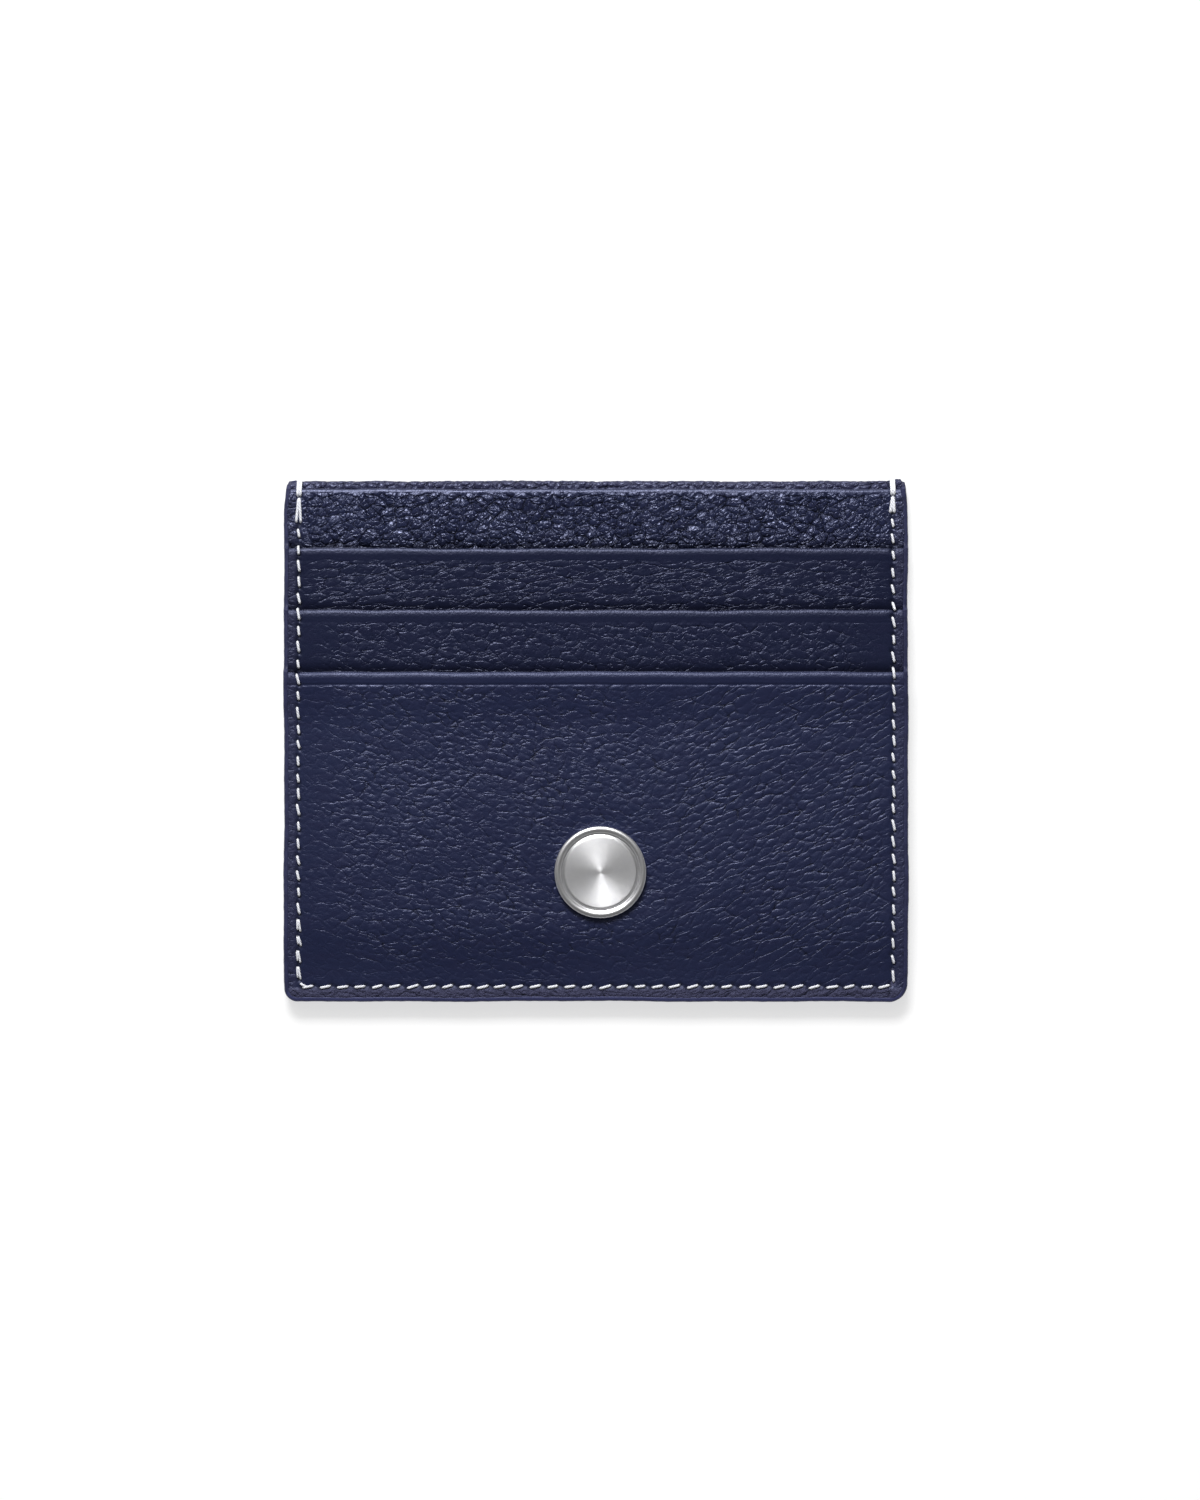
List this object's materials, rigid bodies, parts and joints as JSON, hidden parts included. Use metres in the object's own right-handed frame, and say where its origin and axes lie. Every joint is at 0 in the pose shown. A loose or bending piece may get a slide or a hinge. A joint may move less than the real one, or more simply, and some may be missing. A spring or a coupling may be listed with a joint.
{
  "type": "card holder",
  "caption": "Flat leather card holder with stepped front card slots, an open-topped centre pocket, contrast saddle stitching on the closed edges and a plain round metal badge.",
  "frame": {"origin": "middle of the outer face of the back, at half the width and half the height of the holder, on the surface it lies on", "axes": "+X to the right along the width, +Y towards the mouths of the pockets, +Z out of the front face"},
  "size_m": [0.1, 0.0834, 0.0051],
  "materials": {
    "front_leather": "dark navy pebbled leather, semi-matt with small soft highlights on the grain",
    "back_leather": "dark navy pebbled leather with a turned-in top hem",
    "edge_paint": "smooth rounded coat of blue edge paint, satin",
    "seam_thread": "white twisted and waxed polyester thread",
    "base_thread": "fine navy thread",
    "lining_fabric": "thin navy woven lining",
    "mouth_tape": "thin dark woven reinforcing tape",
    "seam_tape": "thin dark adhesive tape with a cloth carrier",
    "seam_filler": "skived split leather filler, dyed dark, uncoated",
    "stiffener_board": "thin bonded-fibre stiffener board",
    "badge_metal": "polished silver-coloured metal with a finely turned face",
    "washer_metal": "plain thin brass washer"
  },
  "bodies": {
    "root": {"back_panel": "back_leather", "back_stiffener": "stiffener_board", "centre_pocket_back_lining": "lining_fabric", "centre_pocket_seam_tape": "seam_tape", "centre_pocket_front_lining": "lining_fabric", "front_body_panel": "front_leather", "front_body_mouth_tape": "mouth_tape", "upper_slot_leather": "front_leather", "upper_slot_mouth_tape": "mouth_tape", "upper_slot_tongue": "lining_fabric", "upper_slot_base_stitches": "base_thread", "upper_slot_seam_tapes": "seam_tape", "middle_slot_leather": "front_leather", "middle_slot_mouth_tape": "mouth_tape", "middle_slot_tongue": "lining_fabric", "middle_slot_base_stitches": "base_thread", "middle_slot_seam_fillers": "seam_filler", "lower_slot_panel": "front_leather", "lower_slot_mouth_tape": "mouth_tape", "lower_slot_lining": "lining_fabric", "lower_slot_seam_fillers": "seam_filler", "edge_paint": "edge_paint", "seam_stitches_front": "seam_thread", "seam_stitches_back": "seam_thread", "mouth_tack_left": "seam_thread", "mouth_tack_right": "seam_thread", "badge": "badge_metal", "badge_washer": "washer_metal"}
  },
  "joints": []
}
